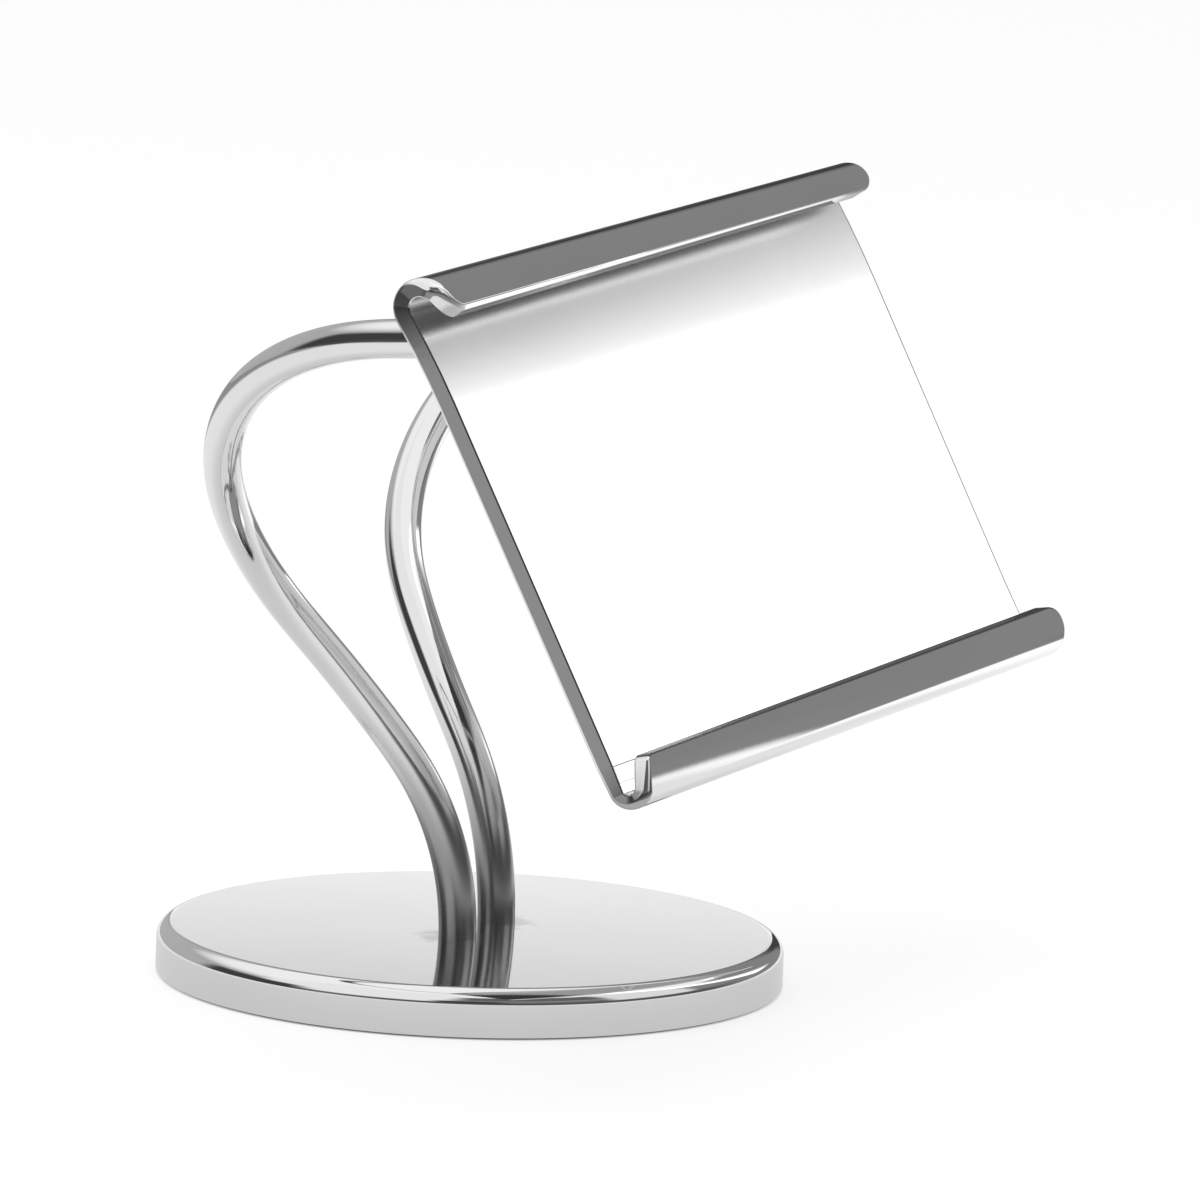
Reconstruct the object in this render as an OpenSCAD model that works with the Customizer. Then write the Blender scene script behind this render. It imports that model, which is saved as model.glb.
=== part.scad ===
// Place card holder: a round weighted base, two bent rods and one folded card plate.
// The rods stand side by side in the base, sweep back and apart, and come forward
// again to the upper corners of the plate, where they are brazed to its back.
// Front is towards -Y, and the origin is the centre of the underside.

/* [Base] */
// Diameter of the round base
base_d = 63; // [54:0.5:80]
// Height of the base's top face above the table
base_h = 5; // [4.8:0.1:8]
// Radius of the rolled top edge
base_edge_r = 1.6; // [0.4:0.1:2.4]
// Chamfer round the bottom edge
base_chamfer = 0.3; // [0.1:0.05:0.6]

/* [Pad] */
// Diameter of the protective pad under the base
pad_d = 54; // [40:0.5:56]
// Thickness of the pad
pad_t = 1; // [0.8:0.1:1.2]
// How far the pad stands out below the base
pad_proud = 0.2; // [0.1:0.05:0.4]
// Radial clearance round the pad in its recess
pad_fit = 0.1; // [0.05:0.05:0.3]

/* [Rods] */
// Diameter of the round rod
rod_d = 3.8; // [3.2:0.1:5]
// Distance of each foot from the middle of the base
foot_x = 4.7; // [4:0.1:8]
// How far the feet stand in front of the centre of the base
foot_front = 0.7; // [0:0.1:4]
// How far the rods bow back behind their feet
rod_bow = 21.3; // [16:0.1:28]
// Straight stretch where a rod leaves the base
foot_straight = 0.5; // [0.2:0.1:3]
// Straight stretch where a rod meets the plate
seat_straight = 4; // [3:0.1:6]
// Depth of the socket that each foot stands in
socket_depth = 1.6; // [1:0.1:2]
// Radial clearance of a foot in its socket
socket_fit = 0.05; // [0.02:0.01:0.1]

/* [Screws] */
// Thread diameter of the screws that hold the feet
screw_d = 2; // [1.6:0.1:2.2]
// Diameter of the screw heads
screw_head_d = 3.8; // [3.2:0.1:4.4]
// Height of the screw heads
screw_head_h = 1.1; // [0.8:0.1:1.2]
// How deep the screws reach into the feet
screw_reach = 4; // [2:0.1:6]
// Clearance round the screws and under their heads
screw_fit = 0.1; // [0.05:0.05:0.2]
// Width across the flats of the key socket
screw_key = 1.3; // [0.9:0.1:1.5]
// Depth of the key socket
screw_key_depth = 0.7; // [0.4:0.1:0.8]

/* [Card plate] */
// Width of the plate
plate_w = 105; // [80:0.5:130]
// Thickness of the sheet
sheet_t = 1.8; // [1.2:0.1:2]
// Height of the flat face, from the fold up to the centre of the top roll
face_h = 50; // [42:0.5:64]
// How far the plate leans back from upright
plate_lean = 28; // [15:0.5:38]
// How far the fold stands in front of the centre of the base
fold_front = 39; // [30:0.5:44]
// Height of the fold above the table
fold_z = 30.95; // [20:0.05:40]

/* [Top lip] */
// Inner radius of the roll along the top edge
roll_r = 1.1; // [0.8:0.1:2.2]
// Straight part of the top lip below the roll's centre
lip_h = 1.2; // [0.6:0.1:4]
// Corner radius at the ends of the top lip
lip_corner_r = 3.5; // [1:0.1:4]

/* [Bottom lip] */
// Length of the bottom lip, measured inside the fold
toe_h = 3.1; // [2.7:0.1:8]
// Angle between the bottom lip and the face
toe_angle = 17; // [12:1:60]
// Inner radius of the fold
fold_r = 0.2; // [0.1:0.05:1]
// Corner radius at the ends of the bottom lip
toe_corner_r = 2.6; // [0.6:0.1:2.7]

/* [Brazed joints] */
// How far the fillet of braze spreads round each rod
braze_size = 0.8; // [0.4:0.1:1.4]
// Length of the fillet along the rod
braze_run = 1.6; // [0.6:0.1:2.4]
// How far the fillet sags below the rod
braze_sag = 0.3; // [0:0.05:0.4]
// Distance of the fillets from the ends of the plate
seat_margin = 0.3; // [0:0.1:6]
// Distance of the fillets below the start of the roll
seat_drop = 0; // [0:0.1:6]

/* [Hidden] */

// Facets of every round form, of the braze fillets and round the rods
$fn = 96;
braze_facets = 40;
rod_sides = 24;
// Largest turn between two rings along a bend of the rods
bend_step = 6;
// Sides of the key sockets
key_sides = 6;

// Length by which cutting tools run past what they cut
overrun = 1;
// Thickness and number of the slices that a fillet of braze is lofted through
slice_t = 0.01;
braze_slices = 5;
// How far the top of a fillet runs into the rod, so that it ends in a clean edge
braze_tuck = 0.08;

// Levels in the base, from the table up
recess_z = pad_t;
head_z = recess_z + screw_fit;
head_seat_z = head_z + screw_head_h;
socket_z = base_h - socket_depth;

// Directions and places in the plate's own profile, in the Y-Z plane
face_up = [0, sin(plate_lean), cos(plate_lean)];
face_out = [0, -cos(plate_lean), sin(plate_lean)];
fold = [0, -fold_front, fold_z];

// Knees of a rod between its foot and its seat: sideways, back and up
spread_shares = [0, 0.1, 0.32, 0.845];
bow_shares = [0, 0.485, 1, 0.42];
rise_shares = [0.16, 0.38, 0.62, 0.955];
// Share of each inner leg that goes to the bend below it
split_shares = [0.57, 0.36, 0.4];

// Ends and knees of the right rod's centreline
foot = [foot_x, -foot_front, base_h];
seat_reach = rod_d / 2 + braze_size;
seat = [plate_w / 2 - seat_margin - seat_reach, 0, 0] + fold
    + (face_h - seat_drop - seat_reach + braze_sag) * face_up - sheet_t * face_out;
knees = [for (i = [0 : len(rise_shares) - 1])
    [foot.x + (seat.x - foot.x) * spread_shares[i],
     foot.y + rod_bow * bow_shares[i],
     foot.z + (seat.z - foot.z) * rise_shares[i]]];
route = concat([foot], knees, [seat]);
last_knee = len(knees);

function unit(v) = v / norm(v);
function leg(i) = route[i + 1] - route[i];
function turn(i) = acos(unit(leg(i - 1)) * unit(leg(i)));

// Length of each bend's tangent, on the leg below knee i and on the leg above it
function room_below(i) = i == 1
    ? norm(leg(0)) - foot_straight
    : norm(leg(i - 1)) * (1 - split_shares[i - 2]);
function room_above(i) = i == last_knee
    ? norm(leg(i)) - seat_straight
    : norm(leg(i)) * split_shares[i - 1];
function tangent(i) = min(room_below(i), room_above(i));
function bend_start(i) = route[i] - unit(leg(i - 1)) * tangent(i);
function bend_end(i) = route[i] + unit(leg(i)) * tangent(i);

function bend_radius(i) = tangent(i) / tan(turn(i) / 2);
function inward(i) = unit(unit(leg(i)) - unit(leg(i - 1)) * cos(turn(i)));

// Place and direction of the rod at an angle round the bend at knee i
function bend_place(i, angle) = bend_start(i)
    + bend_radius(i) * (sin(angle) * unit(leg(i - 1)) + (1 - cos(angle)) * inward(i));
function bend_heading(i, angle) = cos(angle) * unit(leg(i - 1)) + sin(angle) * inward(i);

// Stations along the rod: the bottom of its foot, each bend in steps, and its seat
stations = [
    [[foot.x, foot.y, socket_z], [0, 0, 1]],
    for (i = [1 : last_knee])
        let (steps = ceil(turn(i) / bend_step))
            for (k = [0 : steps])
                let (angle = turn(i) * k / steps)
                    [bend_place(i, angle), bend_heading(i, angle)],
    [seat, unit(leg(last_knee))]
];

// A ring of points round a station, square to the rod
function ring(station) =
    let (across = unit(cross([1, 0, 0], station[1])), beside = cross(station[1], across))
        [for (k = [0 : rod_sides - 1])
            let (angle = 360 * k / rod_sides)
                station[0] + rod_d / 2 * (cos(angle) * across + sin(angle) * beside)];

// The last ring, slid along the rod on to the plate's back
function seat_ring(points, heading) =
    [for (p = points) p + heading * (((seat - p) * face_out) / (heading * face_out))];

module rod_bar() {
    last = len(stations) - 1;
    rings = [for (k = [0 : last])
        k < last ? ring(stations[k]) : seat_ring(ring(stations[k]), stations[k][1])];
    polyhedron(
        points = [for (points = rings) for (p = points) p],
        faces = concat(
            [[for (k = [0 : rod_sides - 1]) k]],
            [for (r = [0 : last - 1]) for (k = [0 : rod_sides - 1])
                let (a = r * rod_sides + k, b = r * rod_sides + (k + 1) % rod_sides)
                    each [[a, b + rod_sides, b], [a, a + rod_sides, b + rod_sides]]],
            [[for (k = [rod_sides - 1 : -1 : 0]) last * rod_sides + k]]));
}

module rod() {
    difference() {
        rod_bar();
        translate([foot.x, foot.y, socket_z - overrun])
            cylinder(d = screw_d + 2 * screw_fit, h = overrun + screw_reach + screw_fit);
    }
}

module screw() {
    translate([foot.x, foot.y, head_z])
        difference() {
            union() {
                cylinder(d = screw_head_d, h = screw_head_h);
                cylinder(d = screw_d, h = socket_z - head_z + screw_reach);
            }
            translate([0, 0, -overrun])
                cylinder(d = screw_key / cos(180 / key_sides), h = overrun + screw_key_depth,
                         $fn = key_sides);
        }
}

// Fillet of braze round the end of a rod, lofted from the plate's back up the rod
module braze() {
    slope = unit(leg(last_knee)) / (unit(leg(last_knee)) * face_out);
    slope_up = unit(slope).z;
    function flare(share) = 1 - sqrt(1 - pow(1 - share, 2));
    difference() {
        for (i = [0 : braze_slices - 1])
            hull()
                for (share = [i / braze_slices, (i + 1) / braze_slices])
                    translate(seat - slope * braze_run * share - face_up * braze_sag * flare(share))
                        rotate([-90 - plate_lean, 0, 0])
                            cylinder(r = rod_d / 2 - braze_tuck
                                         + (braze_size + braze_tuck) * flare(share),
                                     h = slice_t, $fn = braze_facets);
        translate(bend_end(last_knee))
            rotate([0, acos(slope_up), atan2(slope.y, slope.x)])
                cylinder(d = rod_d, h = norm(seat - bend_end(last_knee)) + rod_d);
    }
}

module base() {
    color("silver")
        difference() {
            rotate_extrude()
                difference() {
                    union() {
                        square([base_d / 2 - base_edge_r, base_h]);
                        square([base_d / 2, base_h - base_edge_r]);
                        translate([base_d / 2 - base_edge_r, base_h - base_edge_r])
                            circle(r = base_edge_r);
                    }
                    square([base_d, pad_proud]);
                    translate([base_d / 2, pad_proud])
                        rotate(45)
                            square(base_chamfer * sqrt(2), center = true);
                }
            translate([0, 0, -overrun])
                cylinder(d = pad_d + 2 * pad_fit, h = overrun + recess_z);
            for (side = [-1, 1])
                translate([side * foot.x, foot.y, 0]) {
                    cylinder(d = screw_head_d + 2 * screw_fit, h = head_seat_z);
                    cylinder(d = screw_d + 2 * screw_fit, h = base_h);
                    translate([0, 0, socket_z])
                        cylinder(d = rod_d + 2 * socket_fit, h = socket_depth + overrun);
                }
        }
}

module base_pad() {
    color("dimgray")
        cylinder(d = pad_d, h = pad_t);
}

module right_screw() {
    color("gray")
        screw();
}

module left_screw() {
    color("gray")
        mirror([1, 0, 0])
            screw();
}

module right_rod() {
    color("gainsboro")
        rod();
}

module left_rod() {
    color("gainsboro")
        mirror([1, 0, 0])
            rod();
}

module right_braze() {
    color("lightgray")
        braze();
}

module left_braze() {
    color("lightgray")
        mirror([1, 0, 0])
            braze();
}

// Half of a plane, above the X axis, as wide as a ring of the given radius
module upper_half(radius) {
    translate([-radius, 0])
        square(2 * radius);
}

// Profile of the sheet, with X towards the front and Y up along the face
module sheet_profile() {
    translate([-sheet_t, fold_r])
        square([sheet_t, face_h - fold_r]);
    translate([roll_r, face_h])
        intersection() {
            difference() {
                circle(r = roll_r + sheet_t);
                circle(r = roll_r);
            }
            upper_half(roll_r + sheet_t);
        }
    translate([2 * roll_r, face_h - lip_h])
        square([sheet_t, lip_h]);
    translate([fold_r, fold_r]) {
        difference() {
            circle(r = fold_r + sheet_t);
            circle(r = fold_r);
            upper_half(fold_r + sheet_t);
            rotate(-toe_angle)
                upper_half(fold_r + sheet_t);
        }
        rotate(-toe_angle)
            translate([fold_r, 0])
                square([sheet_t, toe_h]);
    }
}

// What a rounded corner leaves over: the corner points to +X and +Y
module corner_waste(radius, depth) {
    difference() {
        cube([radius + overrun, radius + overrun, depth]);
        translate([0, 0, -overrun])
            cylinder(r = radius, h = depth + 2 * overrun);
    }
}

// Waste at the right end of both lips, in the plate's frame with Z up along the face
module lip_waste() {
    lip_depth = roll_r + sheet_t + overrun;
    translate([plate_w / 2 - lip_corner_r, -roll_r - lip_depth, face_h - lip_h + lip_corner_r])
        rotate([-90, 0, 0])
            corner_waste(lip_corner_r, lip_depth);
    translate([0, -fold_r, fold_r])
        rotate([toe_angle, 0, 0])
            translate([plate_w / 2 - toe_corner_r, 0, toe_h - toe_corner_r])
                rotate([90, 0, 0])
                    corner_waste(toe_corner_r, fold_r + sheet_t + overrun);
}

module card_plate() {
    color("whitesmoke")
        translate(fold)
            rotate([-plate_lean, 0, 0])
                difference() {
                    rotate([90, 0, -90])
                        linear_extrude(plate_w, center = true)
                            sheet_profile();
                    lip_waste();
                    mirror([1, 0, 0])
                        lip_waste();
                }
}

base();
base_pad();
left_screw();
right_screw();
left_rod();
right_rod();
left_braze();
right_braze();
card_plate();
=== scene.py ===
import math

import bpy
import numpy as np
from mathutils import Matrix, Vector


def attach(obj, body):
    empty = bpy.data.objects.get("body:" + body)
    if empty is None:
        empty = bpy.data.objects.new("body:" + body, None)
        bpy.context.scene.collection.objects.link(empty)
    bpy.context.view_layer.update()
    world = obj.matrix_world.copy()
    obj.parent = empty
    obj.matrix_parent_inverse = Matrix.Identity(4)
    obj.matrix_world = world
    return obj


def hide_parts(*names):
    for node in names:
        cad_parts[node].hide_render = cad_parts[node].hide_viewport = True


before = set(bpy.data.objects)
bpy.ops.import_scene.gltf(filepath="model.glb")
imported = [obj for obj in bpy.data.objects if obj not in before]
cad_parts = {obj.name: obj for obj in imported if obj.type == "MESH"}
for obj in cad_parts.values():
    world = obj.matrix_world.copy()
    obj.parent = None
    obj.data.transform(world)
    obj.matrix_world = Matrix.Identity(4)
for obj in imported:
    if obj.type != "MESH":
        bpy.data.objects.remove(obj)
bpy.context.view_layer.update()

MM = 0.001

# Sizes in millimetres, as in the solid model
base_d, base_h, base_edge_r, base_chamfer = 63.0, 5.0, 1.6, 0.3
pad_d, pad_t, pad_proud, pad_fit = 54.0, 1.0, 0.2, 0.1

rod_d, foot_x, foot_front, rod_bow = 3.8, 4.7, 0.7, 21.3
foot_straight, seat_straight, socket_depth = 0.5, 4.0, 1.6

plate_w, sheet_t, face_h, plate_lean = 105.0, 1.8, 50.0, 28.0
fold_front, fold_z, fold_r, roll_r = 39.0, 30.95, 0.2, 1.1

braze_size, braze_run, braze_sag, seat_margin, seat_drop = 0.8, 1.6, 0.3, 0.3, 0.0

# The places of the rods' knees between foot and seat, and how each leg is split between the
# bends at its ends
spread_shares, bow_shares = (0, 0.1, 0.32, 0.845), (0, 0.485, 1, 0.42)
rise_shares, split_shares = (0.16, 0.38, 0.62, 0.955), (0.57, 0.36, 0.4)

# Small edges of the turned pieces
recess_edge_r = 0.1
pad_edge_r, pad_top_r, pad_gap = 0.25, 0.05, 0.01

# Finer forms of the rods and the braze
rod_ease = 2.0           # length over which a change of curvature is eased
rod_bury = 0.5           # how far a rod's end goes on inside the braze
braze_sink = 0.06        # how far the braze starts below the rod's surface
braze_lead_share = 0.12  # how far it starts inside the plate, as a share of its run

# How the sheet bends: it thins towards the bottom fold
fold_thin, fold_thin_run = 0.14, 4.0

# The ends of the blank, which were cut by hand
toe_slant = 2.4                # how far the bottom lip's left end is set in
toe_jut = 3.0                  # how far its right end stands out
lip_jut = 0.25                 # how far the top lip's right end stands out
face_inset = 0.5               # how far the right edge is filed back below the roll
lip_corner_r = 3.3             # corners of the top lip
toe_corner_left = (0.7, 0.6)   # corners of the bottom lip: half widths across and up
toe_corner_right = (4.6, 2.75)
cut_gap = 0.02                 # least stretch between a corner and the next cut line
turn_step, run_step = 3.0, 3   # degrees and millimetres from one cut line to the next

# Rounding of the sheet's edges, inner ones first
edge_inner, edge_inner_right = 0.15, 1.25
edge_toe, edge_fold, edge_face, edge_lip_corner, edge_lip = 0.2, 1.0, 0.36, 1.1, 0.42
edge_right, edge_right_corner = 0.4, 0.22
roll_bulge = 0.12              # how much the cut ends swell round the roll, as a slope
bevel_deg, bevel_start, bevel_end = 58, 12, 80

# How much painted shade and dark reflection the cut edges get, and the painted shade inside the roll,
# as shares
dark_toe, dark_fold_inner, dark_fold_outer, dark_fold = 0.94, 0.75, 0.5, 0.7
dark_right, dark_left_inner, dark_left = 0.75, 0.85, 0.65
dark_lip_corner, lip_corner_from, lip_corner_to = 0.75, 9.0, 6.5
crease_shade, dull_corner = 0.12, 0.8

lean = math.radians(plate_lean)
face_up = np.array([0.0, math.sin(lean), math.cos(lean)])
face_out = np.array([0.0, -math.cos(lean), math.sin(lean)])
fold = np.array([0.0, -fold_front, fold_z])


def unit(v):
    v = np.asarray(v, float)
    return v / np.linalg.norm(v)


def smooth_step(a, b, x):
    t = min(max((x - a) / (b - a), 0.0), 1.0)
    return t * t * (3 - 2 * t)


# Mesh helpers
def make_mesh(name, verts, faces, normals, uvs=None):
    """A mesh in metres from millimetre points, shaded with the exact normals of its form."""
    me = bpy.data.meshes.new(name)
    me.from_pydata([tuple(v * MM) for v in np.asarray(verts, float)], [], faces)
    me.update()
    if uvs is not None:
        layer = me.uv_layers.new(name="UVMap")
        corners = np.zeros(len(me.loops), np.int32)
        me.loops.foreach_get("vertex_index", corners)
        layer.data.foreach_set("uv", np.array(uvs, float)[corners].ravel())
    me.polygons.foreach_set("use_smooth", [True] * len(me.polygons))
    n = np.asarray(normals, float)
    n /= np.maximum(np.linalg.norm(n, axis=1), 1e-9)[:, None]
    me.normals_split_custom_set_from_vertices([tuple(v) for v in n])
    ob = bpy.data.objects.new(name, me)
    bpy.context.scene.collection.objects.link(ob)
    return ob


def mirrored(verts, faces, normals):
    v = np.array(verts, float)
    v[:, 0] *= -1
    n = np.array(normals, float)
    n[:, 0] *= -1
    return v, [tuple(reversed(f)) for f in faces], n


def rounded_path(points, radii, step=6.0):
    """Points and outward normals (to the right of travel) along a polyline with rounded corners."""
    out = []
    n = len(points)
    pts = [np.array(p, float) for p in points]
    for i in range(n):
        if i == 0 or i == n - 1 or radii[i] <= 0:
            if i > 0:
                d = unit(pts[i] - pts[i - 1])
                out.append((pts[i], np.array([d[1], -d[0]])))
            if i < n - 1:
                d = unit(pts[i + 1] - pts[i])
                out.append((pts[i], np.array([d[1], -d[0]])))
            continue
        d0, d1 = unit(pts[i] - pts[i - 1]), unit(pts[i + 1] - pts[i])
        cross = d0[0] * d1[1] - d0[1] * d1[0]
        ang = math.atan2(cross, float(d0 @ d1))
        r = radii[i]
        t = r * math.tan(abs(ang) / 2)
        start = pts[i] - d0 * t
        side = 1 if ang > 0 else -1
        centre = start + side * r * np.array([-d0[1], d0[0]])
        k = max(2, int(math.ceil(abs(math.degrees(ang)) / step)))
        for j in range(k + 1):
            a = ang * j / k
            c, s = math.cos(a), math.sin(a)
            v = start - centre
            p = centre + np.array([c * v[0] - s * v[1], s * v[0] + c * v[1]])
            d = np.array([c * d0[0] - s * d0[1], s * d0[0] + c * d0[1]])
            out.append((p, np.array([d[1], -d[0]])))
    return out


def lathe(name, points, radii, sides=288):
    """A turned piece from a profile of (radius, height) points that starts and ends on the axis."""
    verts, norms, faces = [], [], []
    rings = []
    for p, n in rounded_path(points, radii):
        if p[0] < 1e-6:
            rings.append([len(verts)])
            verts.append((0, 0, p[1]))
            norms.append((0, 0, math.copysign(1, n[1])))
            continue
        ring = []
        for k in range(sides):
            a = 2 * math.pi * k / sides
            ring.append(len(verts))
            verts.append((p[0] * math.cos(a), p[0] * math.sin(a), p[1]))
            norms.append((n[0] * math.cos(a), n[0] * math.sin(a), n[1]))
        rings.append(ring)
    for r0, r1 in zip(rings, rings[1:]):
        if len(r0) == 1 and len(r1) == 1:
            continue
        if len(r0) > 1 and len(r1) > 1 and np.allclose(verts[r0[0]], verts[r1[0]], atol=1e-7):
            continue
        for k in range(sides):
            k1 = (k + 1) % sides
            if len(r0) == 1:
                faces.append((r0[0], r1[k1], r1[k]))
            elif len(r1) == 1:
                faces.append((r0[k], r0[k1], r1[0]))
            else:
                faces.append((r0[k], r0[k1], r1[k1], r1[k]))
    return make_mesh(name, verts, faces, norms)


# The bent rods
def rod_route():
    """Centreline of the right rod, the place of its seat and its heading there: knees, bends
    and straights, as in the solid model."""
    seat_reach = rod_d / 2 + braze_size
    seat = (np.array([plate_w / 2 - seat_margin - seat_reach, 0, 0]) + fold
            + (face_h - seat_drop - seat_reach + braze_sag) * face_up - sheet_t * face_out)
    foot = np.array([foot_x, -foot_front, base_h])
    knees = [np.array([foot[0] + (seat[0] - foot[0]) * spread, foot[1] + rod_bow * bow,
                       foot[2] + (seat[2] - foot[2]) * rise])
             for spread, bow, rise in zip(spread_shares, bow_shares, rise_shares)]
    route = [foot] + knees + [seat]
    last = len(knees)

    def leg(i):
        return route[i + 1] - route[i]

    pts = [np.array([foot[0], foot[1], base_h - socket_depth])]
    for i in range(1, last + 1):
        d0, d1 = unit(leg(i - 1)), unit(leg(i))
        turn = math.acos(float(np.clip(d0 @ d1, -1, 1)))
        below = (np.linalg.norm(leg(0)) - foot_straight if i == 1
                 else np.linalg.norm(leg(i - 1)) * (1 - split_shares[i - 2]))
        above = (np.linalg.norm(leg(i)) - seat_straight if i == last
                 else np.linalg.norm(leg(i)) * split_shares[i - 1])
        tangent = min(below, above)
        radius = tangent / math.tan(turn / 2)
        inward = unit(d1 - d0 * math.cos(turn))
        start = route[i] - d0 * tangent
        steps = int(math.ceil(math.degrees(turn)))
        for k in range(steps + 1):
            a = turn * k / steps
            pts.append(start + radius * (math.sin(a) * d0 + (1 - math.cos(a)) * inward))
    pts.append(seat)
    return pts, seat, unit(leg(last))


def resampled(pts, step):
    """The same line with even steps, and the length run at each of its points."""
    pts = np.array(pts)
    keep = [0] + [i for i in range(1, len(pts)) if np.linalg.norm(pts[i] - pts[i - 1]) > 1e-6]
    pts = pts[keep]
    s = np.concatenate([[0], np.cumsum(np.linalg.norm(np.diff(pts, axis=0), axis=1))])
    q = np.linspace(0, s[-1], int(round(s[-1] / step)) + 1)
    return np.stack([np.interp(q, s, pts[:, k]) for k in range(3)], -1), q


def rod_centreline(fine=0.5, ring_step=0.8):
    """The route with its changes of curvature eased, as a bent bar has them."""
    pts, _, heading = rod_route()
    line, _ = resampled(pts, fine)
    sigma = rod_ease / fine
    half = int(3 * sigma)
    head = unit(line[1] - line[0])
    tail = unit(line[-1] - line[-2])
    ext = np.concatenate([
        [line[0] - head * fine * k for k in range(half, 0, -1)], line,
        [line[-1] + tail * fine * k for k in range(1, half + 1)]])
    w = np.exp(-0.5 * (np.arange(-half, half + 1) / sigma) ** 2)
    w /= w.sum()
    eased, s = resampled(np.stack([np.convolve(ext[:, k], w, "valid") for k in range(3)], -1),
                         ring_step)
    return np.vstack([eased, eased[-1] + heading * rod_bury]), np.append(s, s[-1] + rod_bury)


def tube(name, line, s, radius, sides=72, mirror=False, uv_per_mm=0.01):
    """A round bar along a line, with its length and girth kept as UVs."""
    tang = np.array([unit(t) for t in np.gradient(line, axis=0)])
    ref = unit(np.cross([1, 0, 0], tang[0]))
    verts, norms, uvs, faces = [], [], [], []
    for i, (p, t) in enumerate(zip(line, tang)):
        ref = unit(ref - t * float(ref @ t))
        side = np.cross(t, ref)
        for k in range(sides + 1):
            a = 2 * math.pi * k / sides
            n = math.cos(a) * ref + math.sin(a) * side
            verts.append(p + radius * n)
            norms.append(n)
            uvs.append((k / sides, s[i] * uv_per_mm))
    w = sides + 1
    for i in range(len(line) - 1):
        for k in range(sides):
            a, b = i * w + k, i * w + k + 1
            faces.append((a, b, b + w, a + w))
    for i, sign in ((0, -1), (len(line) - 1, 1)):
        c = len(verts)
        verts.append(line[i])
        norms.append(sign * tang[i])
        uvs.append((0.5, s[i] * uv_per_mm))
        first = len(verts)
        for k in range(w):
            verts.append(verts[i * w + k])
            norms.append(sign * tang[i])
            uvs.append((k / sides, s[i] * uv_per_mm))
        for k in range(sides):
            f = (c, first + k, first + k + 1)
            faces.append(f if sign > 0 else tuple(reversed(f)))
    if mirror:
        verts, faces, norms = mirrored(verts, faces, norms)
    return make_mesh(name, verts, faces, norms, uvs)


line, along = rod_centreline()
right_bar = tube("right_bar", line, along, rod_d / 2)
left_bar = tube("left_bar", line, along, rod_d / 2, mirror=True)


# The fillets of braze at the plate
def braze(name, mirror=False, rows=14, sides=72):
    """A hollow flare round the rod's end, from the rod's surface out to the plate's."""
    _, seat, heading = rod_route()
    slope = heading / float(heading @ face_out)
    across = np.array([1.0, 0, 0])
    shares = [-braze_lead_share] + [1 - math.cos(math.pi / 2 * i / rows) for i in range(rows + 1)]
    grid = []
    for share in shares:
        flare = 1.0 if share < 0 else 1 - math.sqrt(max(0.0, 1 - (1 - share) ** 2))
        centre = seat - slope * braze_run * share - face_up * braze_sag * flare
        r = rod_d / 2 - braze_sink + (braze_size + braze_sink) * flare
        grid.append([centre + r * (math.cos(a) * across + math.sin(a) * face_up)
                     for a in np.linspace(0, 2 * math.pi, sides, endpoint=False)])
    grid = np.array(grid)
    du = np.roll(grid, -1, axis=1) - np.roll(grid, 1, axis=1)
    nrm = np.cross(du, np.gradient(grid, axis=0))
    out = grid - grid.mean(axis=1, keepdims=True)
    flip = np.sign((nrm * out).sum(-1, keepdims=True))
    nrm = nrm * np.where(flip == 0, 1, flip)
    verts, norms = grid.reshape(-1, 3), nrm.reshape(-1, 3)
    faces = []
    for i in range(len(shares) - 1):
        for k in range(sides):
            k1 = (k + 1) % sides
            faces.append((i * sides + k, i * sides + k1, (i + 1) * sides + k1, (i + 1) * sides + k))
    v0, v1, v2 = (verts[j] for j in faces[0][:3])
    if float(np.cross(v1 - v0, v2 - v0) @ norms[faces[0][0]]) < 0:
        faces = [tuple(reversed(f)) for f in faces]
    if mirror:
        verts, faces, norms = mirrored(verts, faces, norms)
    return make_mesh(name, verts, faces, norms)


right_fillet = braze("right_fillet")
left_fillet = braze("left_fillet", mirror=True)


# The folded plate
class Profile:
    """The middle of the sheet across the plate, from the free edge of the bottom lip to that
    of the top lip. Each of its six stretches has a length and a curvature: bottom lip, fold,
    face, crown, roll and top lip. The fold may lie a drop lower, and the crown start short."""

    def __init__(self, toe_len, toe_deg, drop, short, crown_deg, crown_len, flare_deg, lip_len):
        half_t = sheet_t / 2
        crown = math.radians(crown_deg)
        roll = math.pi + crown - math.radians(flare_deg)
        face = face_h + drop - short - crown_len - fold_r
        bend_run, bend = (fold_r + half_t) * math.radians(180 - toe_deg), 1 / (fold_r + half_t)
        p, h = np.array([-half_t, fold_r - drop]), -math.pi / 2
        for length, k in ((bend_run, bend), (toe_len, 0.0)):
            p, h = self.walk(p, h, length, k)
        h += math.pi
        self.segs = []
        for length, k in ((toe_len, 0.0), (bend_run, -bend), (face, 0.0),
                          (crown_len, crown / crown_len),
                          ((roll_r + half_t) * roll, -1 / (roll_r + half_t)), (lip_len, 0.0)):
            self.segs.append((length, k, p, h))
            p, h = self.walk(p, h, length, k)

    @staticmethod
    def walk(p, h, length, k):
        """Place and heading after a length at a curvature."""
        if abs(k) < 1e-9:
            return p + length * np.array([math.cos(h), math.sin(h)]), h
        h2 = h + k * length
        return p + np.array([math.sin(h2) - math.sin(h), math.cos(h) - math.cos(h2)]) / k, h2

    def at(self, w):
        """Place, heading and inner normal at stretch number plus share of that stretch."""
        i = min(max(int(w), 0), len(self.segs) - 1)
        length, k, p, h = self.segs[i]
        p, h = self.walk(p, h, (w - i) * length, k)
        return p, np.array([math.cos(h), math.sin(h)]), np.array([math.sin(h), -math.cos(h)])


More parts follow.
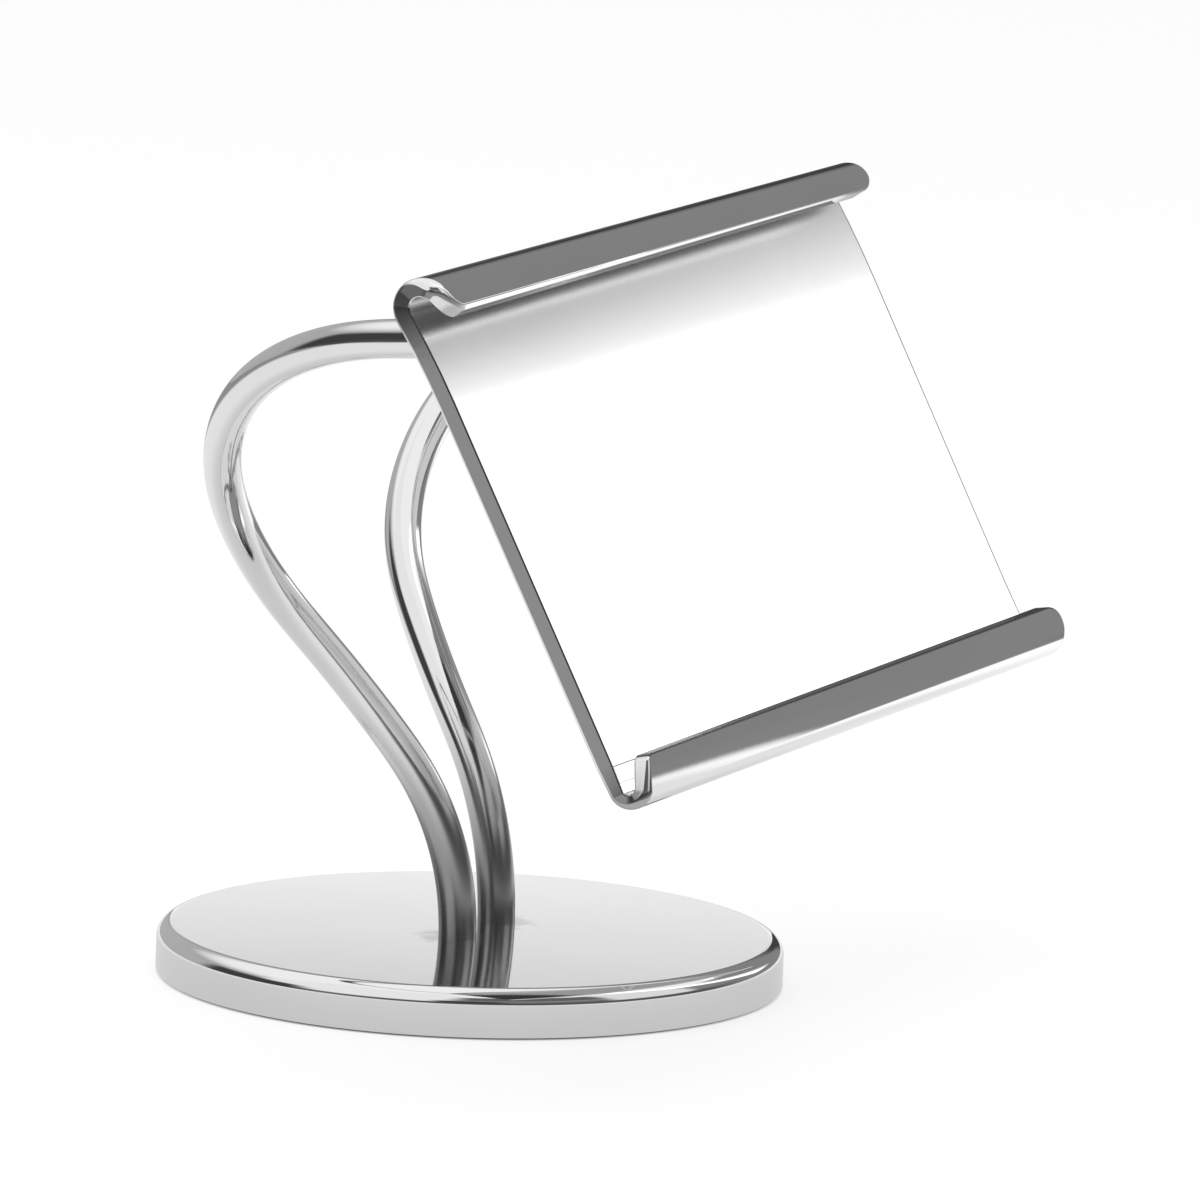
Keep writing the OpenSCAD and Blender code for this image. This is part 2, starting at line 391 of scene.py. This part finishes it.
class Sheet:
    """The whole sheet: its profile eases from one end of the plate to the other."""

    left = Profile(toe_len=3.1, toe_deg=15, drop=0.12, short=0.12, crown_deg=6.3,
                   crown_len=9.5, flare_deg=9, lip_len=2.15)
    right = Profile(toe_len=3.5, toe_deg=19, drop=0.45, short=0.2, crown_deg=4.0,
                    crown_len=9.0, flare_deg=6.5, lip_len=1.2)

    def __init__(self):
        self.lengths = [(a[0] + b[0]) / 2 for a, b in zip(self.left.segs, self.right.segs)]
        self.starts = np.concatenate([[0], np.cumsum(self.lengths)])
        self.S = float(self.starts[-1])

    def stretch(self, s):
        s = min(max(s, 0.0), self.S)
        i = min(int(np.searchsorted(self.starts, s, "right")) - 1, len(self.lengths) - 1)
        return i + (s - self.starts[i]) / self.lengths[i]

    def at(self, u, s):
        w = self.stretch(s)
        q = min(max(u / plate_w + 0.5, 0.0), 1.0)
        a, b = self.left.at(w), self.right.at(w)
        p, t, n = ((1 - q) * x + q * y for x, y in zip(a, b))
        return p, unit(t), unit(n)

    def thickness(self, s):
        """Thickness of the sheet, which is less at the bottom fold."""
        face_start = self.starts[2]
        return sheet_t - 2 * fold_thin * (1 - smooth_step(face_start, face_start + fold_thin_run, s))

    def place(self, u, s, m):
        """A point of the sheet: m runs from 0 on the inner surface to 1 on the outer one."""
        p, t, n = self.at(u, s)
        q = p + n * (0.5 - m) * self.thickness(s)
        return (fold + np.array([u, 0, 0]) + q[0] * face_out + q[1] * face_up,
                t[0] * face_out + t[1] * face_up, n[0] * face_out + n[1] * face_up)


def outline(sheet, corner_steps=16):
    """Both ends of the flat blank from the bottom lip up: points, outward normals, and how
    far the outer edge is rounded off at each."""
    s1, s2, s4, s5 = (sheet.starts[i] for i in (1, 2, 4, 5))
    half_w, S = plate_w / 2, sheet.S
    corner_s = S - lip_corner_r

    def side(s, right):
        if right:
            return (half_w + toe_jut * (1 - smooth_step(0.8 * s1, s2, s))
                    + lip_jut * smooth_step(s4, s5, s)
                    - face_inset * smooth_step(s1, s2, s) * (1 - smooth_step(s2, s4, s)))
        return half_w - toe_slant * max(0.0, 1 - s / s2)

    def right_edge(s):
        return (edge_toe + (edge_right - edge_toe) * smooth_step(0.0, 3.0, s)
                - (edge_right - edge_right_corner) * smooth_step(corner_s - 2.0, corner_s, s))

    def left_edge(s, ns):
        low = edge_toe + (edge_fold - edge_toe) * smooth_step(0.0, 1.6, s)
        e = low + (edge_face - low) * smooth_step(s1, s2 + 1.0, s)
        e += (edge_lip_corner - edge_face) * smooth_step(corner_s - 1.6, corner_s + 0.4, s)
        if s > corner_s:
            e += (edge_lip - e) * smooth_step(0.35, 1.0, abs(ns))
        return e

    cuts = []
    for start, length, seg in zip(sheet.starts, sheet.lengths, sheet.left.segs):
        turned = math.degrees(abs(seg[1]) * length)
        n = max(2, int(math.ceil(turned / turn_step)), int(length / run_step))
        cuts += [start + length * j / n for j in range(n)]
    cuts = [s for s in cuts if toe_corner_right[1] < s < corner_s - cut_gap]
    quarter = [math.pi / 2 * j / corner_steps for j in range(corner_steps + 1)]

    ends = []
    for right in (False, True):
        rx, ry = toe_corner_right if right else toe_corner_left
        pts = []
        for a in quarter:
            s = ry * (1 - math.cos(a))
            pts.append((side(s, right) - rx * (1 - math.sin(a)), s))
        pts += [(side(s, right), s) for s in cuts]
        pts += [(side(S, right) - lip_corner_r * (1 - math.cos(a)),
                 corner_s + lip_corner_r * math.sin(a)) for a in quarter]
        pts = np.array(pts)
        d = np.gradient(pts, axis=0)
        nrm = np.stack([d[:, 1], -d[:, 0]], -1)
        nrm /= np.linalg.norm(nrm, axis=1)[:, None]
        nrm[0], nrm[-1] = (0, -1), (0, 1)
        if right:
            edge = [right_edge(s) for s in pts[:, 1]]
        else:
            edge = [left_edge(s, ns) for s, ns in zip(pts[:, 1], nrm[:, 1])]
            edge[-1] = edge_lip
            pts[:, 0] *= -1
            nrm[:, 0] *= -1
        ends.append((pts, nrm, np.array(edge)))
    return ends


def bevel(b):
    """Turns the even sweep of a rounded edge into one that lingers at a bevel's slope."""
    flat = math.radians(bevel_deg)
    a = math.degrees(b)
    if a < bevel_start:
        return b * bevel_deg / bevel_start * 0.5
    if a > bevel_end:
        return flat + (math.pi / 2 - flat) * (a - bevel_end) / (90 - bevel_end)
    return flat


def edge_shade_and_dullness(sheet, u, s, nu, ns, cos_n):
    """How much painted shade and dark reflection a cut edge gets, and how dull it is: the painted
    shade is darkest along the bottom lip.
    """
    s1, s2, s4 = (sheet.starts[i] for i in (1, 2, 4))
    inner, outer = cos_n > 0.05, cos_n < -0.02
    from_end = plate_w / 2 - u
    # dark is the painted shade and dark reflection on this edge
    dark = 0.0
    if ns > 0.3 and from_end < lip_corner_from:
        dark = dark_lip_corner * smooth_step(-lip_corner_from, -lip_corner_to, -from_end)
    elif ns < -0.8:
        dark = dark_toe
    elif nu < 0 and s < s2 + 1.6:
        bend = smooth_step(s1 - 0.3, s1 + 0.4, s) * (1 - smooth_step(s2 + 0.4, s2 + 1.6, s))
        dark = dark_fold_inner if inner else (dark_fold_outer if outer else dark_fold) * bend
    elif nu > 0.3 and s2 < s < s4:
        dark = dark_right
    elif nu < -0.3 and s4 - 2.6 < s < s4 + 1.2:
        dark = dark_left_inner if inner else dark_left
    elif nu < -0.3 and inner and s2 < s < s4:
        dark = dark_left_inner
    if nu >= 0:
        return dark, 0.0
    return dark, dull_corner * smooth_step(-1.0, -0.5, nu) * smooth_step(0.2, 0.5, ns)


def sheet_piece(name, cols=48, rim_steps=8):
    """The folded sheet: an inner and an outer surface, joined by rims that round its edges."""
    sheet = Sheet()
    s2, s4 = sheet.starts[2], sheet.starts[4]
    (lp, ln, le), (rp, rn, re) = outline(sheet)
    # the inner edge is crisp, but rounder at the right-hand end of the face
    lf = np.full(len(lp), edge_inner)
    rf = np.array([edge_inner + (edge_inner_right - edge_inner) * smooth_step(s2 + 1, s2 + 4, s)
                   * (1 - smooth_step(sheet.S - 5, sheet.S - 4, s)) for s in rp[:, 1]])
    verts, norms, faces = [], [], []
    marks = []        # per point: how much painted shade it gets and how dull the metal is there

    def roll_shade_and_dullness(s):
        """Painted shade inside the roll, and the dullness of the metal there, which a buffing wheel
        doesn't reach.
        """
        return crease_shade * smooth_step(s4 - 1.0, s4 + 0.6, s), smooth_step(s4 - 4.4, s4 - 1.8, s)

    def border(share_front, share_back):
        """Both ends of the blank, drawn in by a share of each edge's rounding."""
        l = lp - ln * (share_front * lf + share_back * le)[:, None]
        r = rp - rn * (share_front * rf + share_back * re)[:, None]
        return l, r

    def grid(m, l, r):
        """The inner (m = 0) or outer surface. Returns the loop of points round its border."""
        rows = []
        for a, b in zip(l, r):
            row = []
            for c in range(cols + 1):
                u, s = a + (b - a) * c / cols
                p, t, n = sheet.place(u, s, m)
                row.append(len(verts))
                verts.append(p)
                norms.append(n if m == 0 else -n)
                marks.append(roll_shade_and_dullness(s) if m == 0 else (0.0, 0.0))
            rows.append(row)
        for r0, r1 in zip(rows, rows[1:]):
            for c in range(cols):
                f = (r0[c], r0[c + 1], r1[c + 1], r1[c])
                faces.append(f if m == 0 else tuple(reversed(f)))
        return (list(rows[0]) + [r[-1] for r in rows[1:]] + list(reversed(rows[-1][:-1]))
                + [r[0] for r in reversed(rows[1:-1])])

    def rim(l, r, depth, cos_n, sin_n):
        """A loop of rim points at a depth in mm below the inner surface."""
        seq = []
        for c in range(cols + 1):
            q = l[0] + (r[0] - l[0]) * c / cols
            seq.append((q, (0.0, -1.0), le[0] + c / cols * (re[0] - le[0]), lf[0]))
        seq += [(r[k], rn[k], re[k], rf[k]) for k in range(1, len(r) - 1)]
        for c in range(cols + 1):
            q = r[-1] + (l[-1] - r[-1]) * c / cols
            seq.append((q, (0.0, 1.0), re[-1] + c / cols * (le[-1] - re[-1]), lf[-1]))
        seq += [(l[k], ln[k], le[k], lf[k]) for k in range(len(l) - 2, 0, -1)]
        out = []
        for (u, s), (nu, ns), e, f in seq:
            thick = sheet.thickness(s)
            p, t, n = sheet.place(u, s, depth(e, f, thick) / thick)
            out.append(len(verts))
            verts.append(p)
            cn, sn = cos_n, sin_n
            if ns > 0.7 and cos_n < -0.02:
                # the free edge of the top lip is dressed to a bevel
                b = math.acos(-cos_n)
                b += smooth_step(0.7, 0.98, ns) * (bevel(b) - b)
                cn, sn = -math.cos(b), math.sin(b)
            bulge = roll_bulge * smooth_step(s4 - 1.0, s4 + 2.0, s)
            norms.append((cn - bulge * sn) * n + sn * (np.array([nu, 0, 0]) + ns * t))
            marks.append(edge_shade_and_dullness(sheet, u, s, nu, ns, cos_n))
        return out

    sweep = [(math.cos(b), math.sin(b))
             for b in (math.pi / 2 * j / rim_steps for j in range(1, rim_steps + 1))]
    loops = [grid(0, *border(1.0, 0.0))]
    for c, s in sweep:
        loops.append(rim(*border(1 - s, 0.0), lambda e, f, t, c=c: f * (1 - c), c, s))
    for c, s in reversed(sweep):
        loops.append(rim(*border(0.0, 1 - s), lambda e, f, t, c=c: t - e * (1 - c), -c, s))
    loops.append(grid(1, *border(0.0, 1.0)))
    count = len(loops[0])
    for l0, l1 in zip(loops, loops[1:]):
        for k in range(count):
            k1 = (k + 1) % count
            faces.append((l0[k1], l0[k], l1[k], l1[k1]))
    return make_mesh(name, verts, faces, norms, marks)


plate = sheet_piece("folded_plate")


# Base and pad
recess_r = pad_d / 2 + pad_fit
base = lathe("turned_base", [
    (0, pad_t), (recess_r, pad_t), (recess_r, pad_proud), (base_d / 2, pad_proud),
    (base_d / 2, base_h), (0, base_h)],
    [0, 0, recess_edge_r, base_chamfer, base_edge_r, 0])
pad = lathe("rubber_pad", [
    (0, 0), (pad_d / 2, 0), (pad_d / 2, pad_t - pad_gap), (0, pad_t - pad_gap)],
    [0, pad_edge_r, pad_top_r, 0], sides=160)


# Shader helpers
white = (1, 1, 1, 1)


def principled(name):
    mat = bpy.data.materials.new(name)
    mat.use_nodes = True
    nt = mat.node_tree
    return mat, nt, nt.nodes["Principled BSDF"]


def node(nt, kind, **values):
    """A new node. Values that start with in_ go to its inputs, the others to its settings."""
    n = nt.nodes.new(kind)
    for k, v in values.items():
        if k.startswith("in_"):
            n.inputs[k[3:]].default_value = v
        else:
            setattr(n, k, v)
    return n


def put(nt, value, socket):
    """Sets a socket to a number, or links another socket to it."""
    if isinstance(value, (int, float)):
        socket.default_value = value
    else:
        nt.links.new(value, socket)


def maths(nt, operation, *values):
    m = node(nt, "ShaderNodeMath", operation=operation)
    for value, socket in zip(values, m.inputs):
        put(nt, value, socket)
    return m.outputs[0]


def least(nt, first, *others):
    for other in others:
        first = maths(nt, "MINIMUM", first, other)
    return first


def distance(nt, vector, place=(0, 0, 0)):
    m = node(nt, "ShaderNodeVectorMath", operation="DISTANCE")
    nt.links.new(vector, m.inputs[0])
    m.inputs[1].default_value = place
    return m.outputs["Value"]


def ranged(nt, value, lo, hi, a=0.0, b=1.0, kind="SMOOTHSTEP"):
    """A fade from a, where the value is lo, to b, where it is hi."""
    m = node(nt, "ShaderNodeMapRange", interpolation_type=kind)
    m.inputs["From Min"].default_value, m.inputs["From Max"].default_value = lo, hi
    m.inputs["To Min"].default_value, m.inputs["To Max"].default_value = a, b
    nt.links.new(value, m.inputs["Value"])
    return m.outputs["Result"]


def coordinates(nt, which):
    """Texture coordinates as one vector and as separate X, Y and Z."""
    vector = node(nt, "ShaderNodeTexCoord").outputs[which]
    sep = node(nt, "ShaderNodeSeparateXYZ")
    nt.links.new(vector, sep.inputs["Vector"])
    return vector, sep.outputs


def noise(nt, vector, scale, detail, roughness=0.5):
    n = node(nt, "ShaderNodeTexNoise", in_Scale=scale, in_Detail=detail, in_Roughness=roughness)
    nt.links.new(vector, n.inputs["Vector"])
    return n.outputs["Fac"]


def blended(nt, share, a, b, blend="MIX"):
    """Blends colours: each of a and b is a colour or a socket."""
    m = node(nt, "ShaderNodeMix", data_type="RGBA", blend_type=blend)
    for value, socket in ((a, m.inputs["A"]), (b, m.inputs["B"])):
        if isinstance(value, tuple):
            socket.default_value = (*value[:3], 1)
        else:
            nt.links.new(value, socket)
    nt.links.new(share, m.inputs["Factor"])
    return m.outputs["Result"]


def bumped(nt, height, bsdf, strength, distance):
    bp = node(nt, "ShaderNodeBump", in_Strength=strength, in_Distance=distance)
    nt.links.new(height, bp.inputs["Height"])
    nt.links.new(bp.outputs["Normal"], bsdf.inputs["Normal"])


def mixed(nt, share, first, second):
    """Mixes two shaders: the share, a number or a socket, goes to the second."""
    m = node(nt, "ShaderNodeMixShader")
    put(nt, share, m.inputs["Fac"])
    nt.links.new(first, m.inputs[1])
    nt.links.new(second, m.inputs[2])
    return m.outputs["Shader"]


def glow(nt, strength):
    em = node(nt, "ShaderNodeEmission", in_Color=white)
    put(nt, strength, em.inputs["Strength"])
    return em.outputs["Emission"]


def sent_on(nt):
    """1 for rays that metal mirrors or that something clear lets through."""
    lp = node(nt, "ShaderNodeLightPath")
    return maths(nt, "MAXIMUM", lp.outputs["Is Glossy Ray"], lp.outputs["Is Transmission Ray"])


# Materials
def polished(name, colour, streaks=None, rough=(0.035, 0.075), bump=0.02, scale=240.0):
    """Mirror-polished metal with the faint waviness and buffing marks of handwork."""
    mat, nt, bsdf = principled(name)
    bsdf.inputs["Metallic"].default_value = 1.0
    place, _ = coordinates(nt, "Object")
    mp = node(nt, "ShaderNodeMapping")
    if streaks:
        nt.links.new(coordinates(nt, "UV")[0], mp.inputs["Vector"])
        mp.inputs["Scale"].default_value = streaks
    else:
        nt.links.new(place, mp.inputs["Vector"])
        mp.inputs["Scale"].default_value = (scale, scale, scale)
    fine = noise(nt, mp.outputs["Vector"], 1.0, 5.0, 0.6)
    nt.links.new(ranged(nt, fine, 0.35, 0.7, *rough, kind="LINEAR"), bsdf.inputs["Roughness"])
    darker = tuple(c * 0.93 for c in colour)
    nt.links.new(blended(nt, noise(nt, place, 55.0, 2.0), colour, darker), bsdf.inputs["Base Color"])
    bumped(nt, fine, bsdf, bump, 0.2 * MM)
    return mat


def dull(mat, mask, rough, tone):
    """Where the mask is set, the metal is rougher and darker."""
    nt = mat.node_tree
    bsdf = nt.nodes["Principled BSDF"]
    mix = node(nt, "ShaderNodeMix", data_type="FLOAT")
    nt.links.new(mask, mix.inputs[0])
    nt.links.new(bsdf.inputs["Roughness"].links[0].from_socket, mix.inputs[2])
    mix.inputs[3].default_value = rough
    nt.links.new(mix.outputs[0], bsdf.inputs["Roughness"])
    colour = bsdf.inputs["Base Color"].links[0].from_socket
    nt.links.new(blended(nt, mask, colour, (tone, tone, tone), "MULTIPLY"), bsdf.inputs["Base Color"])


def rubber(name, dark=(0.022, 0.022, 0.023), light=(0.045, 0.045, 0.046)):
    mat, nt, bsdf = principled(name)
    place, _ = coordinates(nt, "Object")
    grain, clouds = noise(nt, place, 2500.0, 4.0), noise(nt, place, 120.0, 2.0)
    nt.links.new(blended(nt, clouds, dark, light), bsdf.inputs["Base Color"])
    nt.links.new(ranged(nt, grain, 0.0, 1.0, 0.65, 0.85, kind="LINEAR"), bsdf.inputs["Roughness"])
    bumped(nt, grain, bsdf, 0.3, 0.1 * MM)
    return mat


def sheet_steel(name):
    """Dull inside the bends, with painted shade inside the roll and painted shade and dark reflections
    on the cut edges, which the sheet's UVs mark.
    """
    mat = polished(name, steel, scale=180.0)
    _, marks = coordinates(mat.node_tree, "UV")
    dull(mat, marks["Y"], 0.42, 1.0)
    # The X mark is painted shade and dark reflection: a little rougher, and darker down to 0.06 of the
    # colour.
    dull(mat, marks["X"], 0.25, 0.06)
    return mat


def rod_steel(name, shade_fades_out_at=0.030, shade_full_below=0.010):
    """Streaked along the bar. Where the rods meet the base it is rougher, and darker with painted
    shade.
    """
    mat = polished(name, steel, streaks=(90.0, 12.0, 1.0), rough=(0.03, 0.09))
    nt = mat.node_tree
    _, at = coordinates(nt, "Object")
    # Painted shade at the feet of the rods, which are also rougher there.
    dull(mat, ranged(nt, at["Z"], shade_full_below, shade_fades_out_at, 1.0, 0.0), 0.24, 0.42)
    return mat


def base_steel(name, foot_shade=(0.0052, 0.0078), uneven=0.006):
    """With faint painted shade round the feet of the rods, where the metal is also a little rougher.
    """
    mat = polished(name, steel, scale=260.0)
    nt = mat.node_tree
    place, at = coordinates(nt, "Object")
    folded = node(nt, "ShaderNodeCombineXYZ")
    nt.links.new(maths(nt, "ABSOLUTE", at["X"]), folded.inputs["X"])
    nt.links.new(at["Y"], folded.inputs["Y"])
    away = distance(nt, folded.outputs["Vector"], (foot_x * MM, -foot_front * MM, 0))
    spread = maths(nt, "MULTIPLY_ADD", noise(nt, place, 420.0, 3.0), uneven, away)
    # Painted shade round the rods' feet, its edge made uneven by noise.
    dull(mat, ranged(nt, spread, *foot_shade, 1.0, 0.0), 0.16, 0.80)
    return mat


steel = (0.80, 0.80, 0.80)
mat_plate = sheet_steel("polished_sheet")
mat_rod = rod_steel("polished_rod")
mat_base = base_steel("polished_base")
mat_braze = polished("polished_braze", (0.76, 0.755, 0.74), scale=500.0, rough=(0.06, 0.14), bump=0.06)
mat_screw = polished("screw_steel", (0.55, 0.55, 0.56), scale=600.0, rough=(0.22, 0.34))
mat_pad = rubber("pad_rubber")


def dress(ob, mat, slot, *nodes):
    ob.data.materials.clear()
    ob.data.materials.append(mat)
    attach(ob, "root")
    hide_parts(*nodes)


dress(base, mat_base, "polished_steel", "base")
dress(pad, mat_pad, "pad_rubber", "base_pad")
dress(right_bar, mat_rod, "polished_steel", "right_rod")
dress(left_bar, mat_rod, "polished_steel", "left_rod")
dress(right_fillet, mat_braze, "braze", "right_braze")
dress(left_fillet, mat_braze, "braze", "left_braze")
dress(plate, mat_plate, "polished_steel", "card_plate")
for name in ("left_screw", "right_screw"):
    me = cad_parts[name].data
    me.materials.clear()
    me.materials.append(mat_screw)


# The floor, in metres. Each fade gives two places and the brightness at each of them.
floor_half, floor_colour, floor_rough = 3.0, (0.97, 0.97, 0.97, 1), 0.6
near_fade = (0.031, 0.080, 0.76, 1.0)       # dimmer close round the base: painted shade of the base on the floor that the metal sees
front_fade = (-0.150, -0.110, 0.25, 1.0)    # ends in front
far_fade = (0.24, 0.45, 1.0, 0.3)           # fades out all round
left_fade = (-0.210, -0.150, 0.30, 1.0)     # ends on the left
gap_fade = (0.178, 0.196, 1.0, 0.08)        # has a dark gap far behind,
gap_end_fade = (-0.210, -0.150, 0.0, 1.0)   # which lies on the left alone
pool_at, pool_fade = (0.180, -0.085, 0.0), (0.045, 0.100, 1.35, 1.0)   # and a painted pool of light
shadow_fade = (0.0305, 0.0317, 0.03, 1.0)   # deep shadow right under the edge of the base
sheet_glow, sheet_share, eye_share = 0.93, 0.94, 0.82


def make_floor():
    """A pale floor. The metal sees a lit sheet on it, and the eye sees mostly plain white, with
    the part's own shadow kept in it."""
    me = bpy.data.meshes.new("floor")
    r = floor_half
    me.from_pydata([(-r, -r, 0), (r, -r, 0), (r, r, 0), (-r, r, 0)], [], [(0, 1, 2, 3)])
    ob = bpy.data.objects.new("floor", me)
    bpy.context.scene.collection.objects.link(ob)
    mat, nt, bsdf = principled("floor_white")
    bsdf.inputs["Base Color"].default_value = floor_colour
    bsdf.inputs["Roughness"].default_value = floor_rough
    paint = bsdf.outputs["BSDF"]
    place, at = coordinates(nt, "Object")
    away = distance(nt, place)

    edges = least(nt, ranged(nt, at["Y"], *front_fade), ranged(nt, away, *far_fade),
                  ranged(nt, at["X"], *left_fade))
    gap = maths(nt, "MAXIMUM", ranged(nt, at["Y"], *gap_fade), ranged(nt, at["X"], *gap_end_fade))
    pool = ranged(nt, distance(nt, place, pool_at), *pool_fade)
    lit = maths(nt, "MULTIPLY", maths(nt, "MULTIPLY", ranged(nt, away, *near_fade), edges),
                maths(nt, "MULTIPLY", pool, gap))
    metal = mixed(nt, sheet_share, paint, glow(nt, maths(nt, "MULTIPLY", lit, sheet_glow)))
    eye = mixed(nt, eye_share, paint, glow(nt, ranged(nt, away, *shadow_fade)))

    seen = mixed(nt, node(nt, "ShaderNodeLightPath").outputs["Is Camera Ray"], paint, eye)
    nt.links.new(mixed(nt, sent_on(nt), seen, metal), nt.nodes["Material Output"].inputs["Surface"])
    me.materials.append(mat)


make_floor()


# The studio's fields, as the metal sees them, in degrees. Azimuth runs from the front to the
# right. Each row has azimuth, half width, elevation, half height, soft edge across and up,
# and brightness.
FIELDS = [
    (-112, 34, 38, 25, 10, 4, 1.25),     # bright wall at the left and behind
    (-165, 28, 6, 12, 14, 8, 0.07),      # dark gap behind on the left
    (-38, 26, 36, 9, 12, 4, 0.17),       # dim arc above the front
    (8, 15, 29, 16, 8, 3, 1.1),          # bright strip in front
    (76, 42, 14, 20, 10, 6, 0.33),       # grey wall at the right
    (113, 12, 2, 10, 6, 10, 0.07),       # dark gap on the right
    (150, 26, 10, 12, 12, 10, 0.62),     # light grey wall behind on the right
    (-48, 12, -4, 10, 10, 8, 0.03),      # dark stand by the camera
    (-66, 9, 9, 8, 8, 8, 0.04),          # camera
    (-30, 60, 2, 5, 30, 8, 0.13),        # dark gap along the front
]
tent = (0.8, 0.8, 0.8, 1)                # colour of the tent's cloth
sky_fade = (16.0, 42.0, 0.22, 1.35)      # dim at the sides, bright overhead

# The bright field that the face shows. It lies on a slant, measured by shares of azimuth and
# elevation, and fades out at its upper side.
slant_shares = (0.62, 0.78)
upper_fade = (52.5, 59.2, 1.0, 0.0)
lower_fade = (46.0, 49.0, 0.0, 1.0)
bottom_fade = (8.6, 10.2, 0.0, 1.0)
right_fade = (77.0, 82.0, 1.0, 0.0)
bright_fade = (53.4, 54.9, 2.2, 1.9)


def make_world():
    """A pale tent, with the fields above in it for the metal."""
    world = bpy.data.worlds.new("studio")
    bpy.context.scene.world = world
    world.use_nodes = True
    nt = world.node_tree
    nt.nodes.clear()
    _, at = coordinates(nt, "Generated")
    el = maths(nt, "MULTIPLY", maths(nt, "ARCSINE", at["Z"]), math.degrees(1))
    az = maths(nt, "ARCTAN2", at["X"], maths(nt, "MULTIPLY", at["Y"], -1.0))
    az = maths(nt, "MULTIPLY", az, math.degrees(1))

    def laid_over(level, mask, value):
        """A field of a value, laid over what is behind it where its mask is set."""
        return maths(nt, "MULTIPLY_ADD", maths(nt, "SUBTRACT", value, level), mask, level)

    level = ranged(nt, el, *sky_fade)
    for az0, half_az, el0, half_el, soft_az, soft_el, value in FIELDS:
        across = maths(nt, "WRAP", maths(nt, "SUBTRACT", az, az0), -180.0, 180.0)
        across = ranged(nt, maths(nt, "ABSOLUTE", across), half_az, half_az + soft_az, 1.0, 0.0)
        up = maths(nt, "ABSOLUTE", maths(nt, "SUBTRACT", el, el0))
        up = ranged(nt, up, half_el, half_el + soft_el, 1.0, 0.0)
        level = laid_over(level, maths(nt, "MULTIPLY", across, up), value)

    slant = maths(nt, "ADD", maths(nt, "MULTIPLY", az, slant_shares[0]),
                  maths(nt, "MULTIPLY", el, slant_shares[1]))
    mask = ranged(nt, slant, *upper_fade, kind="LINEAR")
    for value, fade in ((slant, lower_fade), (el, bottom_fade), (az, right_fade)):
        mask = maths(nt, "MULTIPLY", mask, ranged(nt, value, *fade))
    level = laid_over(level, mask, ranged(nt, slant, *bright_fade))

    plain = node(nt, "ShaderNodeBackground", in_Color=tent, in_Strength=1.0)
    fields = node(nt, "ShaderNodeBackground", in_Color=tent)
    nt.links.new(level, fields.inputs["Strength"])
    out = node(nt, "ShaderNodeOutputWorld")
    both = mixed(nt, sent_on(nt), plain.outputs["Background"], fields.outputs["Background"])
    nt.links.new(both, out.inputs["Surface"])


make_world()


# The lamp, which the metal doesn't show, in metres and watts
lamp_at, lamp_target, lamp_size, lamp_power = (0.0, 0.1, 0.9), (0, 0, 0.03), 0.8, 4.0


def make_lamp(name):
    lamp = bpy.data.lights.new(name, "AREA")
    lamp.shape = "SQUARE"
    lamp.size = lamp_size
    lamp.energy = lamp_power
    lamp.color = white[:3]
    ob = bpy.data.objects.new(name, lamp)
    ob.location = lamp_at
    toward = Vector(lamp_target) - Vector(lamp_at)
    ob.rotation_euler = toward.to_track_quat("-Z", "Y").to_euler()
    ob.visible_glossy = False
    bpy.context.scene.collection.objects.link(ob)


make_lamp("soft_top")


# Small cards near the part, in metres
def make_card(name, mid, side, heights, bright, dimming=None):
    """A small upright white card, which only the metal sees. Dimming is two heights and the
    brightness above the second one."""
    low, high = heights
    me = bpy.data.meshes.new(name)
    pts = [(mid - side, low), (mid + side, low), (mid + side, high), (mid - side, high)]
    me.from_pydata([(p[0], p[1], z) for p, z in pts], [], [(0, 1, 2, 3)])
    ob = bpy.data.objects.new(name, me)
    bpy.context.scene.collection.objects.link(ob)
    mat = bpy.data.materials.new(name + "_white")
    mat.use_nodes = True
    nt = mat.node_tree
    nt.nodes.clear()
    if dimming:
        from_z, to_z, top = dimming
        _, at = coordinates(nt, "Object")
        bright = ranged(nt, at["Z"], from_z, to_z, bright, top, kind="LINEAR")
    out = node(nt, "ShaderNodeOutputMaterial")
    nt.links.new(glow(nt, bright), out.inputs["Surface"])
    me.materials.append(mat)
    ob.visible_camera = False
    ob.visible_diffuse = False
    ob.visible_shadow = False
    ob.visible_transmission = False


# behind the base on the right: its top shows this one
low_card_az, low_card_away, low_card_half = math.radians(113.5), 0.150, 0.046
make_card("low_card", np.array([math.sin(low_card_az), -math.cos(low_card_az)]) * low_card_away,
          np.array([math.cos(low_card_az), math.sin(low_card_az)]) * low_card_half,
          heights=(0.010, 0.0455), bright=1.0, dimming=(0.028, 0.0435, 0.72))
# beyond the right-hand end of the plate and inside it: the bottom fold shows these
make_card("fold_card", np.array([0.080, -0.0645]), np.array([0.0, 0.0065]),
          heights=(0.080, 0.0925), bright=2.1)
make_card("fold_card_deep", np.array([0.025, -0.0332]), np.array([0.0, 0.0020]),
          heights=(0.0622, 0.0682), bright=3.6)


# The camera: place in millimetres, directions, and focal length in pixels of the photograph
camera_at = (-1110.7625, -496.2331, 242.7545)
camera_back, camera_right = (-0.9043, -0.3935, 0.1653), (0.4041, -0.9141, 0.0345)
focal_px, photo_px = 12346.6, 1200.0


def make_camera():
    cam = bpy.data.cameras.new("camera")
    cam.sensor_width = 36.0
    cam.lens = focal_px * cam.sensor_width / photo_px
    cam.clip_start, cam.clip_end = 0.05, 20.0
    ob = bpy.data.objects.new("camera", cam)
    back = Vector(camera_back).normalized()
    right = Vector(camera_right)
    right = (right - back * right.dot(back)).normalized()
    m = Matrix((right, back.cross(right), back)).transposed().to_4x4()
    m.translation = Vector(camera_at) * MM
    ob.matrix_world = m
    bpy.context.scene.collection.objects.link(ob)
    bpy.context.scene.camera = ob


make_camera()

bpy.context.scene.view_settings.view_transform = "Standard"
